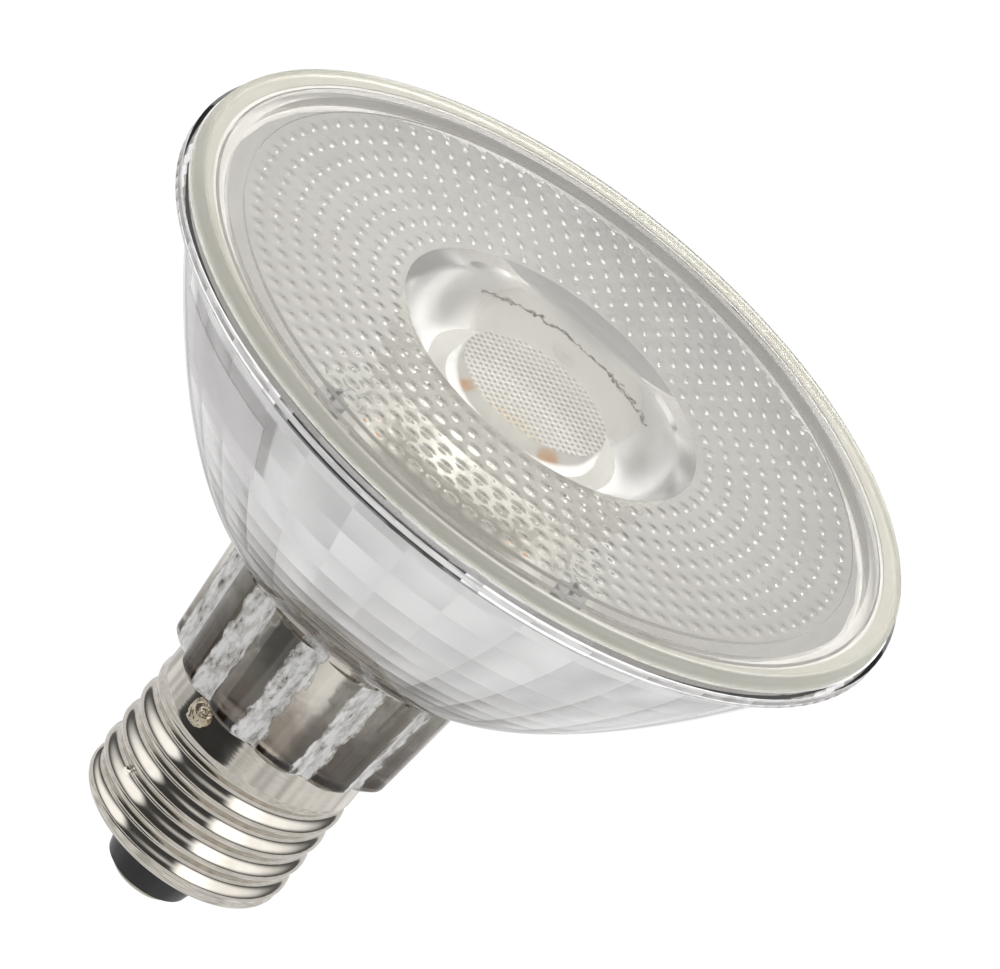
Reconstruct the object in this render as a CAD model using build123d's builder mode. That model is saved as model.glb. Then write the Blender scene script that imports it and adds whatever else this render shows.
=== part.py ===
"""A reflector bulb with a screw cap: pressed-glass body, dotted front lens, light engine and driver.

Millimetres. The lamp's axis is +Z, with the front lens up and the tip of the centre contact at the origin.
"""

import os
from math import cos, radians, sin

from build123d import *

os.makedirs("parts", exist_ok=True)

# Heights, stacked from the contact's tip up to the front of the lens
contact_height = 1.0
insulator_height = 6.05
shell_height = 21.35
cap_gap = 0.1
neck_length = 18.0
bowl_depth = 31.05
rim_height = 2.3
adhesive_thickness = 0.15
lens_edge_thickness = 1.5

insulator_tip_z = contact_height
shell_bottom_z = insulator_tip_z + insulator_height
shell_top_z = shell_bottom_z + shell_height
neck_bottom_z = shell_top_z + cap_gap
neck_top_z = neck_bottom_z + neck_length
rim_bottom_z = neck_top_z + bowl_depth
rim_top_z = rim_bottom_z + rim_height
flange_z = rim_top_z + adhesive_thickness
front_z = flange_z + lens_edge_thickness

# Glass body: rim and bowl
rim_radius = 47.5
rim_overhang = 2.4
rim_bevel = 0.5
mouth_radius = rim_radius - rim_overhang
mouth_lean = 0.8
mouth_handle = 3.7
foot_step = 1.2
foot_handle = 9.6
bowl_wall = 3.0
lens_seat_wall = 3.5
lens_seat_depth = 2.2
lens_seat_radius = rim_radius - lens_seat_wall
bowl_bands = 9

# Mirror facets inside the bowl: columns around, and rows that shrink towards the neck
facet_columns = 36
facet_rows = 12
facet_shrink = 0.845

# Glass body: neck with rounded ribs that taper towards the cap, and the spigot inside the cap
rib_count = 12
rib_top_drop = 2.5
rib_taper = 1.3
groove_depth = 1.3
rib_end_round = 0.7
neck_step = 2.1
neck_ring_inset = 0.8
spigot_wall = 1.3
bore_draft = 1.8

# Screw cap, size E27: rolled thread in thin plated brass
thread_pitch = 3.629
thread_crest_radius = 13.1
thread_depth = 0.9
thread_mouth = 2.3
thread_root = 0.8
thread_turns = 4
thread_start = 1.14
collar_step = 0.2
collar_height = 4.3
shell_wall = 0.4
shell_curl = 2.7
shell_round = 1.6
cement_thickness = 0.45
solder_angle = 240
solder_drop = 1.9
solder_radius = 1.75
solder_height = 0.9
solder_taper = 40

# Insulator and centre contact
insulator_top_radius = 6.9
insulator_tip_radius = 5.3
insulator_shoulder = 0.3
insulator_flange = 1.5
insulator_lip = 2.0
contact_radius = 4.6
contact_edge = 0.5
pin_radius = 1.5
pin_rise = 0.9

# Front lens: plate, flange, locating lip and collimator
lens_inset = 0.7
lens_bevel = 0.7
plate_thickness = 2.2
web_thickness = 1.8
dotted_margin = 2.3
lip_width = 1.2
lip_depth = 1.9
adhesive_margin = 0.4
collar_top_radius = 19.3
collar_lean = 1.5
collar_edge_depth = 5.45
cone_depth = 17.2
cone_lean = 5.6
cone_belly = 0.6
cone_foot_width = 2.3
cavity_roof_depth = 10.5
cavity_draft = 0.6

# Light engine
led_gap = 0.3
board_thickness = 1.2
board_edge = 2.8
pad_thickness = 0.2
pad_edge = 1.0
phosphor_radius = 4.0
phosphor_height = 0.4
dam_width = 0.9
dam_height = 0.6
sink_margin = 0.6
sink_wall = 1.8
sink_plate = 2.5
screw_radius = 0.95
screw_head_radius = 1.8
screw_head_height = 1.2
screw_slot_length = 2.2
screw_slot_width = 0.5
screw_slot_depth = 0.6
screw_room = 2.2

# Driver
sleeve_wall = 0.9
sleeve_overlap = 2.0
sleeve_flange = 1.0
sleeve_floor = 1.2
driver_thickness = 1.2
driver_side_gap = 1.3
driver_rise = 6.3
component_gap = 1.5
can_room = 0.9
can_crimp = 1.2
input_can_length = 12.0
output_can_length = 11.0
output_can_inset = 0.9
bridge_size = (4.0, 4.7, 2.5)
bridge_x = 4.2
chip_size = (4.9, 3.9, 1.6)
fuse_radius = 1.3
fuse_length = 7.0
fuse_x = -4.5
fuse_rise = 2.5
inductor_radius = 3.6
inductor_waist = 0.9
inductor_flange = 1.2
inductor_rise = 5.6
core_width = 10.0
core_height = 12.0
core_limb = 1.7
core_leg = 2.8
core_inset = 1.4
core_rise = 30.0
lead_radius = 0.5
lead_drop = 2.0
live_rise = 5.0

# Clearances
slip = 0.2
seat_gap = 0.3

# Radii that follow from the cap: the neck grips it, and the bowl stands on the neck
collar_radius = thread_crest_radius - collar_step
shell_floor_radius = thread_crest_radius - shell_curl
crest_bottom_radius = collar_radius + neck_step
crest_top_radius = crest_bottom_radius + rib_taper
neck_ring_radius = crest_top_radius - neck_ring_inset
foot_radius = crest_top_radius + foot_step

# The outline of the bowl, outside and inside, seen from the side
bowl_outside = [
    (mouth_radius, rim_bottom_z),
    (mouth_radius - mouth_lean, rim_bottom_z - mouth_handle),
    (foot_radius + foot_handle, neck_top_z),
    (foot_radius, neck_top_z),
]
bowl_inside = [
    (mouth_radius - bowl_wall, rim_bottom_z),
    (mouth_radius - mouth_lean - bowl_wall, rim_bottom_z - mouth_handle),
    (foot_radius + foot_handle, neck_top_z + bowl_wall),
    (foot_radius, neck_top_z + bowl_wall),
]


def on_bowl(outline, t):
    """A point (radius, height) on an outline of the bowl, from the mouth (0) to the foot (1)."""
    weights = ((1 - t) ** 3, 3 * (1 - t) ** 2 * t, 3 * (1 - t) * t**2, t**3)
    radius = sum(w * p[0] for w, p in zip(weights, outline))
    height = sum(w * p[1] for w, p in zip(weights, outline))
    return radius, height


def facet_row(row):
    """The (radius, height) of the upper edge of a row of mirror facets."""
    return on_bowl(bowl_inside, 1 - facet_shrink**row)


ledge_radius, ledge_z = facet_row(facet_rows)
shell_inner_radius = thread_crest_radius - thread_depth - shell_wall
collar_inner_radius = collar_radius - shell_wall
collar_bottom_z = shell_top_z - collar_height
spigot_radius = collar_inner_radius - cement_thickness
spigot_end_z = collar_bottom_z + seat_gap
bore_bottom_radius = spigot_radius - spigot_wall
bore_top_radius = bore_bottom_radius + bore_draft

# The neutral lead leaves through the cap's collar, at the solder spot
solder_z = shell_top_z - solder_drop
solder_out = (cos(radians(solder_angle)), sin(radians(solder_angle)))
solder_plane = Plane(origin=(0, 0, solder_z), x_dir=(0, 0, 1), z_dir=(*solder_out, 0))
lead_hole_radius = lead_radius + seat_gap


def lead_notch():
    """The neutral lead's way out, open downwards, drawn in the current sketch on the solder plane."""
    Circle(lead_hole_radius)
    with Locations((-collar_height / 2, 0)):
        Rectangle(collar_height, 2 * lead_hole_radius)


def scallop(crest):
    """A ring of round ribs with sharp grooves between them, drawn in the current sketch."""
    groove = crest - groove_depth
    half_step = cos(radians(180 / rib_count))
    centre = (crest**2 - groove**2) / (2 * (crest - groove * half_step))
    Circle(groove * half_step)
    with PolarLocations(centre, rib_count, start_angle=180 / rib_count):
        Circle(crest - centre)


# Glass body: a turned outside, ribs on the neck, and the faceted mirror bowl pressed into it
rib_top_z = neck_top_z - rib_top_drop
rib_foot_z = neck_bottom_z + rib_end_round
neck_core_radius = crest_bottom_radius - groove_depth - rib_end_round
with BuildPart() as glass_reflector:
    with BuildSketch(Plane.XZ):
        with BuildLine():
            Polyline(
                (0, spigot_end_z),
                (spigot_radius, spigot_end_z),
                (spigot_radius, neck_bottom_z),
                (neck_core_radius, neck_bottom_z),
                (neck_core_radius, rib_top_z),
                (neck_ring_radius, rib_top_z),
                (neck_ring_radius, neck_top_z),
                *[on_bowl(bowl_outside, 1 - band / bowl_bands) for band in range(bowl_bands + 1)],
                (rim_radius, rim_bottom_z),
                (rim_radius, rim_top_z),
                (0, rim_top_z),
                (0, spigot_end_z),
            )
        make_face()
    revolve(axis=Axis.Z)
    rim_edges = edges().filter_by(GeomType.CIRCLE).filter_by(lambda e: abs(e.radius - rim_radius) < slip)
    chamfer(rim_edges, min(rim_bevel, 0.45 * rim_height))
    with BuildSketch(Plane.XY.offset(neck_bottom_z)):
        scallop(crest_bottom_radius - rib_end_round)
    with BuildSketch(Plane.XY.offset(rib_foot_z)):
        scallop(crest_bottom_radius)
    loft(ruled=True)
    with BuildSketch(Plane.XY.offset(rib_foot_z)):
        scallop(crest_bottom_radius)
    with BuildSketch(Plane.XY.offset(rib_top_z)):
        scallop(crest_top_radius)
    loft(ruled=True)
    with BuildSketch(Plane.XY.offset(rim_top_z)):
        Circle(lens_seat_radius)
    extrude(amount=-lens_seat_depth, mode=Mode.SUBTRACT)
    for row in range(facet_rows + 1):
        facet_radius, facet_z = facet_row(row)
        with BuildSketch(Plane.XY.offset(facet_z)):
            RegularPolygon(facet_radius, facet_columns)
    loft(ruled=True, mode=Mode.SUBTRACT)
    with BuildSketch(Plane.XY.offset(rim_bottom_z)):
        RegularPolygon(mouth_radius - bowl_wall, facet_columns)
    extrude(amount=rim_height, mode=Mode.SUBTRACT)
    with BuildSketch(Plane.XZ):
        with BuildLine():
            Polyline(
                (0, spigot_end_z),
                (bore_bottom_radius, spigot_end_z),
                (bore_top_radius, ledge_z),
                (0, ledge_z),
                close=True,
            )
        make_face()
    revolve(axis=Axis.Z, mode=Mode.SUBTRACT)
    with BuildSketch(solder_plane):
        lead_notch()
    extrude(amount=spigot_radius + slip, mode=Mode.SUBTRACT)
glass_reflector.part.label = "glass_reflector"
export_step(glass_reflector.part, "parts/glass_reflector.step")

# Front lens: one moulding, with the collimator cone hanging from the middle of the plate
lens_radius = rim_radius - lens_inset
lip_radius = lens_seat_radius - seat_gap
dotted_outer_radius = lip_radius - lip_width - dotted_margin
collar_edge_radius = collar_top_radius - collar_lean
cone_end_radius = collar_edge_radius - cone_lean
cavity_mouth_radius = cone_end_radius - cone_foot_width
cavity_roof_radius = cavity_mouth_radius - cavity_draft
cone_end_z = front_z - cone_depth
collar_edge_z = front_z - collar_edge_depth
cavity_roof_z = front_z - cavity_roof_depth
cone_belly_radius = (collar_edge_radius + cone_end_radius) / 2 + cone_belly
cone_belly_z = (collar_edge_z + cone_end_z) / 2
with BuildPart() as front_lens:
    with BuildSketch(Plane.XZ):
        with BuildLine():
            Polyline(
                (0, front_z),
                (lens_radius - lens_bevel, front_z),
                (lens_radius, front_z - lens_bevel),
                (lens_radius, flange_z),
                (lip_radius, flange_z),
                (lip_radius, flange_z - lip_depth),
                (lip_radius - lip_width, flange_z - lip_depth),
                (lip_radius - lip_width, front_z - web_thickness),
                (dotted_outer_radius, front_z - web_thickness),
                (dotted_outer_radius, front_z - plate_thickness),
                (collar_top_radius, front_z - plate_thickness),
                (collar_edge_radius, collar_edge_z),
                (cone_belly_radius, cone_belly_z),
                (cone_end_radius, cone_end_z),
                (cavity_mouth_radius, cone_end_z),
                (cavity_roof_radius, cavity_roof_z),
                (0, cavity_roof_z),
                close=True,
            )
        make_face()
    revolve(axis=Axis.Z)
front_lens.part.label = "front_lens"
export_step(front_lens.part, "parts/front_lens.step")

# Adhesive ring between the lens flange and the glass rim
with BuildPart() as lens_adhesive:
    with BuildSketch(Plane.XY.offset(rim_top_z)):
        Circle(lens_radius - adhesive_margin)
        Circle(lens_seat_radius + adhesive_margin, mode=Mode.SUBTRACT)
    extrude(amount=adhesive_thickness)
lens_adhesive.part.label = "lens_adhesive"
export_step(lens_adhesive.part, "parts/lens_adhesive.step")

# Light engine: board on a pad on the heat sink, with screws on X and lead holes on Y
board_top_z = cone_end_z - led_gap
board_bottom_z = board_top_z - board_thickness
sink_top_z = board_bottom_z - pad_thickness
sink_plate_z = sink_top_z - sink_plate
screw_hole_radius = screw_radius + slip
screw_circle = cone_end_radius + screw_room + screw_head_radius
board_radius = screw_circle + board_edge
ledge_flat_radius = ledge_radius * cos(radians(180 / facet_columns))
sink_radius = min(board_radius + sink_margin, ledge_flat_radius - slip)


def fixing_holes(depth, top):
    """Screw and lead holes, cut down from a height through the current part."""
    with BuildSketch(Plane.XY.offset(top)) as holes:
        with PolarLocations(screw_circle, 2):
            Circle(screw_hole_radius)
        with PolarLocations(screw_circle, 2, start_angle=90):
            Circle(lead_hole_radius)
    extrude(holes.sketch, amount=-depth, mode=Mode.SUBTRACT)


with BuildPart() as led_board:
    with BuildSketch(Plane.XY.offset(board_bottom_z)):
        Circle(board_radius)
    extrude(amount=board_thickness)
    fixing_holes(board_thickness, board_top_z)
led_board.part.label = "led_board"
export_step(led_board.part, "parts/led_board.step")

with BuildPart() as thermal_pad:
    with BuildSketch(Plane.XY.offset(sink_top_z)):
        Circle(screw_circle - screw_hole_radius - pad_edge)
    extrude(amount=pad_thickness)
thermal_pad.part.label = "thermal_pad"
export_step(thermal_pad.part, "parts/thermal_pad.step")

with BuildPart() as cob_phosphor:
    with BuildSketch(Plane.XY.offset(board_top_z)):
        Circle(phosphor_radius)
    extrude(amount=phosphor_height)
cob_phosphor.part.label = "cob_phosphor"
export_step(cob_phosphor.part, "parts/cob_phosphor.step")

with BuildPart() as cob_dam:
    with BuildSketch(Plane.XY.offset(board_top_z)):
        Circle(phosphor_radius + dam_width)
        Circle(phosphor_radius, mode=Mode.SUBTRACT)
    extrude(amount=dam_height)
cob_dam.part.label = "cob_dam"
export_step(cob_dam.part, "parts/cob_dam.step")

with BuildPart() as heat_sink:
    with BuildSketch(Plane.XY.offset(ledge_z)):
        Circle(sink_radius)
    extrude(amount=sink_top_z - ledge_z)
    with BuildSketch(Plane.XY.offset(ledge_z)):
        Circle(sink_radius - sink_wall)
    extrude(amount=sink_plate_z - ledge_z, mode=Mode.SUBTRACT)
    fixing_holes(sink_plate, sink_top_z)
heat_sink.part.label = "heat_sink"
export_step(heat_sink.part, "parts/heat_sink.step")

with BuildPart() as led_screws:
    with BuildSketch(Plane.XY.offset(sink_plate_z)):
        with PolarLocations(screw_circle, 2):
            Circle(screw_radius)
    extrude(amount=board_top_z - sink_plate_z)
    with BuildSketch(Plane.XY.offset(board_top_z)):
        with PolarLocations(screw_circle, 2):
            Circle(screw_head_radius)
    extrude(amount=screw_head_height)
    with BuildSketch(Plane.XY.offset(board_top_z + screw_head_height)):
        with PolarLocations(screw_circle, 2):
            Rectangle(screw_slot_length, screw_slot_width)
            Rectangle(screw_slot_width, screw_slot_length)
    extrude(amount=-screw_slot_depth, mode=Mode.SUBTRACT)
led_screws.part.label = "led_screws"
export_step(led_screws.part, "parts/led_screws.step")

# Insulating sleeve: hangs by its flange from the ledge, down through the neck into the cap
insulator_top_z = shell_bottom_z + shell_wall + insulator_flange
pin_top_z = insulator_top_z + pin_rise
sleeve_radius = min(bore_bottom_radius, shell_inner_radius) - slip
sleeve_inner_radius = sleeve_radius - sleeve_wall
sleeve_bottom_z = pin_top_z + 2 * lead_radius + seat_gap
driver_foot_z = sleeve_bottom_z + sleeve_floor
driver_face = driver_thickness / 2
live_y = driver_face + lead_radius
with BuildPart() as driver_sleeve:
    with BuildSketch(Plane.XZ):
        with BuildLine():
            Polyline(
                (0, sleeve_bottom_z),
                (sleeve_radius, sleeve_bottom_z),
                (sleeve_radius, ledge_z),
                (bore_top_radius + sleeve_overlap, ledge_z),
                (bore_top_radius + sleeve_overlap, ledge_z + sleeve_flange),
                (sleeve_inner_radius, ledge_z + sleeve_flange),
                (sleeve_inner_radius, driver_foot_z),
                (0, driver_foot_z),
                close=True,
            )
        make_face()
    revolve(axis=Axis.Z)
    with BuildSketch(Plane.XY.offset(driver_foot_z)):
        with Locations((0, live_y)):
            Circle(lead_hole_radius)
    extrude(amount=-sleeve_floor, mode=Mode.SUBTRACT)
    with BuildSketch(solder_plane):
        Circle(lead_hole_radius)
    extrude(amount=sleeve_radius, mode=Mode.SUBTRACT)
driver_sleeve.part.label = "driver_sleeve"
export_step(driver_sleeve.part, "parts/driver_sleeve.step")

# Driver board, upright on the sleeve's floor, with its components on both faces
driver_top_z = min(ledge_z + driver_rise, sink_plate_z - component_gap)
with BuildPart() as driver_board:
    with BuildSketch(Plane.XY.offset(driver_foot_z)):
        Rectangle(2 * (sleeve_inner_radius - driver_side_gap), driver_thickness)
    extrude(amount=driver_top_z - driver_foot_z)
driver_board.part.label = "driver_board"
export_step(driver_board.part, "parts/driver_board.step")


def can(radius, length, foot_z):
    """An electrolytic can lying along the front face of the driver board, with its crimp groove."""
    with BuildSketch(Plane.XY.offset(foot_z)) as outline:
        with Locations((0, driver_face + radius)):
            Circle(radius)
    extrude(outline.sketch, amount=length)
    with BuildSketch(Plane.XY.offset(foot_z + can_crimp)) as crimp:
        with Locations((0, driver_face + radius)):
            Circle(radius)
            Circle(radius - can_crimp / 4, mode=Mode.SUBTRACT)
    extrude(crimp.sketch, amount=can_crimp / 2, mode=Mode.SUBTRACT)


room = sleeve_inner_radius - driver_face - can_room
input_can_radius = room / 2
output_can_radius = input_can_radius - output_can_inset
lead_cross_z = driver_top_z - 2 * lead_radius
output_can_z = lead_cross_z - lead_radius - component_gap - output_can_length
input_can_z = output_can_z - component_gap - input_can_length
with BuildPart() as input_capacitor:
    can(input_can_radius, input_can_length, input_can_z)
input_capacitor.part.label = "input_capacitor"
export_step(input_capacitor.part, "parts/input_capacitor.step")

with BuildPart() as output_capacitor:
    can(output_can_radius, output_can_length, output_can_z)
output_capacitor.part.label = "output_capacitor"
export_step(output_capacitor.part, "parts/output_capacitor.step")


def on_board(x, z, side):
    """A plane on a face of the driver board, front (1) or back (-1), looking outwards."""
    return Plane(origin=(x, side * driver_face, z), x_dir=(-side, 0, 0), z_dir=(0, side, 0))


bridge_z = input_can_z - component_gap - bridge_size[1] / 2
with BuildPart() as bridge_rectifier:
    with BuildSketch(on_board(bridge_x, bridge_z, 1)):
        Rectangle(bridge_size[0], bridge_size[1])
    extrude(amount=bridge_size[2])
    chamfer(edges().group_by(Axis.Y)[-1], bridge_size[2] / 8)
bridge_rectifier.part.label = "bridge_rectifier"
export_step(bridge_rectifier.part, "parts/bridge_rectifier.step")

core_z = driver_foot_z + core_rise
chip_z = core_z - core_height / 2 - component_gap - chip_size[1] / 2
with BuildPart() as driver_chip:
    with BuildSketch(on_board(0, chip_z, -1)):
        Rectangle(chip_size[0], chip_size[1])
    extrude(amount=chip_size[2])
    chamfer(edges().group_by(Axis.Y)[0], chip_size[2] / 8)
driver_chip.part.label = "driver_chip"
export_step(driver_chip.part, "parts/driver_chip.step")

with BuildPart() as fuse_resistor:
    with BuildSketch(Plane.XY.offset(driver_foot_z + fuse_rise)):
        with Locations((fuse_x, driver_face + fuse_radius)):
            Circle(fuse_radius)
    extrude(amount=fuse_length)
fuse_resistor.part.label = "fuse_resistor"
export_step(fuse_resistor.part, "parts/fuse_resistor.step")

# Filter inductor: a drum core that stands on the back of the board
inductor_plane = on_board(0, driver_foot_z + inductor_rise, -1)
with BuildPart() as filter_inductor:
    with BuildSketch(inductor_plane):
        Circle(inductor_radius)
    extrude(amount=room)
    with BuildSketch(inductor_plane.offset(inductor_flange)):
        Circle(inductor_radius)
        Circle(inductor_radius - inductor_waist, mode=Mode.SUBTRACT)
    extrude(amount=room - 2 * inductor_flange, mode=Mode.SUBTRACT)
filter_inductor.part.label = "filter_inductor"
export_step(filter_inductor.part, "parts/filter_inductor.step")

# Transformer: the winding stands on the back of the board, and the core's middle leg runs through it
core_plane = on_board(0, core_z, -1).offset(core_inset)
core_depth = room - 2 * core_inset
window_width = core_width / 2 - core_limb - core_leg / 2
window_height = core_height - 2 * core_limb
with BuildPart() as transformer_core:
    with BuildSketch(core_plane):
        Rectangle(core_width, core_height)
        with GridLocations(core_leg + window_width, 0, 2, 1):
            Rectangle(window_width, window_height, mode=Mode.SUBTRACT)
    extrude(amount=core_depth)
transformer_core.part.label = "transformer_core"
export_step(transformer_core.part, "parts/transformer_core.step")

winding_middle = driver_face + core_inset + core_depth / 2
winding_hole = (core_leg + 2 * slip, core_depth + 2 * slip)
with BuildPart() as transformer_winding:
    with BuildSketch(Plane.XY.offset(core_z - window_height / 2 + slip)):
        with Locations((0, -winding_middle)):
            Rectangle(core_leg + 2 * window_width - 2 * slip, room)
            Rectangle(*winding_hole, mode=Mode.SUBTRACT)
    extrude(amount=window_height - 2 * slip)
transformer_winding.part.label = "transformer_winding"
export_step(transformer_winding.part, "parts/transformer_winding.step")


def lead(points):
    """An insulated lead of round wire along straight runs."""
    with BuildLine() as route:
        Polyline(*points)
    with BuildSketch(Plane(origin=route.line @ 0, z_dir=route.line % 0)) as section:
        Circle(lead_radius)
    sweep(section.sketch, path=route.line, transition=Transition.RIGHT)


# Output leads: from the top of the driver board, up through the heat sink and the light engine's board
def output_lead(side):
    """The lead on the front (1) or back (-1) of the driver board."""
    lead(
        [
            (0, side * driver_face, lead_cross_z),
            (0, side * screw_circle, lead_cross_z),
            (0, side * screw_circle, board_top_z + lead_radius),
        ]
    )


with BuildPart() as output_lead_positive:
    output_lead(1)
output_lead_positive.part.label = "output_lead_positive"
export_step(output_lead_positive.part, "parts/output_lead_positive.step")

with BuildPart() as output_lead_negative:
    output_lead(-1)
output_lead_negative.part.label = "output_lead_negative"
export_step(output_lead_negative.part, "parts/output_lead_negative.step")

# Supply leads: one lies on the contact's pin, the other ends at the solder spot on the cap
with BuildPart() as live_lead:
    lead(
        [
            (0, -pin_radius, pin_top_z + lead_radius),
            (0, live_y, pin_top_z + lead_radius),
            (0, live_y, driver_foot_z + live_rise),
        ]
    )
live_lead.part.label = "live_lead"
export_step(live_lead.part, "parts/live_lead.step")

neutral_start = live_y / abs(solder_out[1])
neutral_end = (collar_radius**2 - lead_radius**2) ** 0.5
with BuildPart() as neutral_lead:
    lead(
        [
            (neutral_start * solder_out[0], neutral_start * solder_out[1], solder_z - lead_drop),
            (neutral_start * solder_out[0], neutral_start * solder_out[1], solder_z),
            (neutral_end * solder_out[0], neutral_end * solder_out[1], solder_z),
        ]
    )
neutral_lead.part.label = "neutral_lead"
export_step(neutral_lead.part, "parts/neutral_lead.step")

# Screw cap: thin shell, rolled in at the bottom, with a right-hand groove wound into its side
shell_hole_radius = insulator_top_radius - insulator_shoulder
shell_floor_z = shell_bottom_z + shell_wall
thread_end_z = shell_bottom_z + shell_round
shell_turn_radius = shell_floor_radius + (thread_crest_radius - shell_floor_radius) * sin(radians(45))
shell_turn_z = shell_bottom_z + shell_round * (1 - cos(radians(45)))
with BuildPart() as screw_shell:
    with BuildSketch(Plane.XZ):
        with BuildLine():
            Polyline(
                (shell_hole_radius, shell_bottom_z),
                (shell_floor_radius, shell_bottom_z),
                (shell_turn_radius, shell_turn_z),
                (thread_crest_radius, thread_end_z),
                (thread_crest_radius, collar_bottom_z - slip),
                (collar_radius, collar_bottom_z),
                (collar_radius, shell_top_z),
                (collar_inner_radius, shell_top_z),
                (collar_inner_radius, collar_bottom_z),
                (shell_inner_radius, collar_bottom_z - shell_wall),
                (shell_inner_radius, thread_end_z),
                (shell_floor_radius, shell_floor_z),
                (shell_hole_radius, shell_floor_z),
                close=True,
            )
        make_face()
    revolve(axis=Axis.Z)
    with BuildLine() as groove_path:
        Helix(
            thread_pitch,
            thread_pitch * thread_turns,
            thread_crest_radius,
            center=(0, 0, shell_bottom_z + thread_start),
        )
    with BuildSketch(Plane(origin=groove_path.line @ 0, x_dir=(1, 0, 0), z_dir=groove_path.line % 0)):
        with BuildLine():
            Polyline(
                (-thread_depth, -thread_root / 2),
                (slip, -thread_mouth / 2),
                (slip, thread_mouth / 2),
                (-thread_depth, thread_root / 2),
                close=True,
            )
        make_face()
    sweep(path=groove_path.line, is_frenet=True, mode=Mode.SUBTRACT)
    with BuildSketch(solder_plane):
        Circle(lead_hole_radius)
    extrude(amount=collar_radius + slip, mode=Mode.SUBTRACT)
screw_shell.part.label = "screw_shell"
export_step(screw_shell.part, "parts/screw_shell.step")

# Basing cement between the spigot and the collar, open where the neutral lead passes
with BuildPart() as cap_cement:
    with BuildSketch(Plane.XY.offset(spigot_end_z)):
        Circle(collar_inner_radius)
        Circle(spigot_radius, mode=Mode.SUBTRACT)
    extrude(amount=shell_top_z - spigot_end_z)
    with BuildSketch(solder_plane):
        lead_notch()
    extrude(amount=collar_radius, mode=Mode.SUBTRACT)
cap_cement.part.label = "cap_cement"
export_step(cap_cement.part, "parts/cap_cement.step")

# Solder spot: a flat drop on the collar, over the lead's end
solder_foot = (collar_radius**2 - solder_radius**2) ** 0.5
with BuildPart() as shell_solder:
    with BuildSketch(solder_plane.offset(solder_foot)):
        Circle(solder_radius)
    extrude(amount=collar_radius + solder_height - solder_foot, taper=solder_taper)
    with BuildSketch(Plane.XY.offset(shell_bottom_z)):
        Circle(collar_radius)
    extrude(amount=shell_height + solder_radius, mode=Mode.SUBTRACT)
shell_solder.part.label = "shell_solder"
export_step(shell_solder.part, "parts/shell_solder.step")

# Insulator: moulded around the rolled-in edge of the cap, with a bore for the contact's pin
pin_bore_radius = pin_radius + slip / 2
with BuildPart() as base_insulator:
    with BuildSketch(Plane.XZ):
        with BuildLine():
            Polyline(
                (pin_bore_radius, insulator_tip_z),
                (insulator_tip_radius, insulator_tip_z),
                (insulator_top_radius, shell_bottom_z),
                (shell_hole_radius - slip, shell_bottom_z),
                (shell_hole_radius - slip, shell_floor_z),
                (shell_hole_radius + insulator_lip, shell_floor_z),
                (shell_hole_radius + insulator_lip, insulator_top_z),
                (pin_bore_radius, insulator_top_z),
                close=True,
            )
        make_face()
    revolve(axis=Axis.Z)
base_insulator.part.label = "base_insulator"
export_step(base_insulator.part, "parts/base_insulator.step")

# Centre contact: a flat head with a bevelled edge, on a pin that holds the live lead
with BuildPart() as centre_contact:
    with BuildSketch(Plane.XZ):
        with BuildLine():
            Polyline(
                (0, 0),
                (contact_radius - contact_edge, 0),
                (contact_radius, contact_edge),
                (contact_radius, contact_height),
                (pin_radius, contact_height),
                (pin_radius, pin_top_z),
                (0, pin_top_z),
                (0, 0),
            )
        make_face()
    revolve(axis=Axis.Z)
centre_contact.part.label = "centre_contact"
export_step(centre_contact.part, "parts/centre_contact.step")
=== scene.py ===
"""A reflector bulb's look: pressed glass with mirror facets, a clear dotted lens and a plated screw cap."""

from math import atan2, cos, hypot, pi, radians, sin

import bpy
from mathutils import Matrix, Vector


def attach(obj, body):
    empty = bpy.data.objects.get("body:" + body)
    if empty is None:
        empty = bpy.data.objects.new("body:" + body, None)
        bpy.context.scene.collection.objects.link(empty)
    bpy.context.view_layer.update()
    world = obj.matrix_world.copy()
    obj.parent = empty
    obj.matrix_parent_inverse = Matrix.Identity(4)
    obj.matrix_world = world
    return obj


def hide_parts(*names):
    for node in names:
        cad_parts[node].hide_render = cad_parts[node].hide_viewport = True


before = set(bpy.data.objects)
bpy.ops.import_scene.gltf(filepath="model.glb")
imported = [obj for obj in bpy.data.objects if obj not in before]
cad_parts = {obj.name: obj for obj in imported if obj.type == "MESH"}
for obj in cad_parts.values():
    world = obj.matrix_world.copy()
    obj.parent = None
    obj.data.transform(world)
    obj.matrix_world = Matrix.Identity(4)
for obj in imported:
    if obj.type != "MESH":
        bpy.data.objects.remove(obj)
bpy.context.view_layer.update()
mm = 0.001

# Heights of the lamp in millimetres, as in the part's source; the lens's flange lies a hair above its glue
front_z = 81.5
glue_top_z = 80.02
flange_back_z = 79.7
plate_back_z = 79.3
lip_bottom_z = 78.1
rim_bottom_z = 77.55
collar_edge_z = 76.05
roof_z = 71.0
cone_end_z = 64.3
board_top_z = 64.0
ledge_z = 50.6
neck_top_z = 46.5
shell_top_z = 28.4
collar_bottom_z = 24.1
shell_bottom_z = 7.05

# Its radii, and the curve of the bowl's outside
lens_radius = 46.8
lip_outer_radius = 43.7
lip_inner_radius = 42.5
plate_radius = 40.2
collar_radius = 19.3
collar_edge_radius = 17.8
cone_end_radius = 12.2
cavity_mouth_radius = 9.9
roof_radius = 9.3
shell_radius = 12.9
collar_inside_radius = 12.5
shell_inside_radius = 11.8
contact_hole_radius = 6.6
bowl_outside = [(45.1, rim_bottom_z), (44.3, 73.85), (27.1, neck_top_z), (17.5, neck_top_z)]
bowl_bands = 9
rib_count = 12
solder_angle = 240

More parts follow.
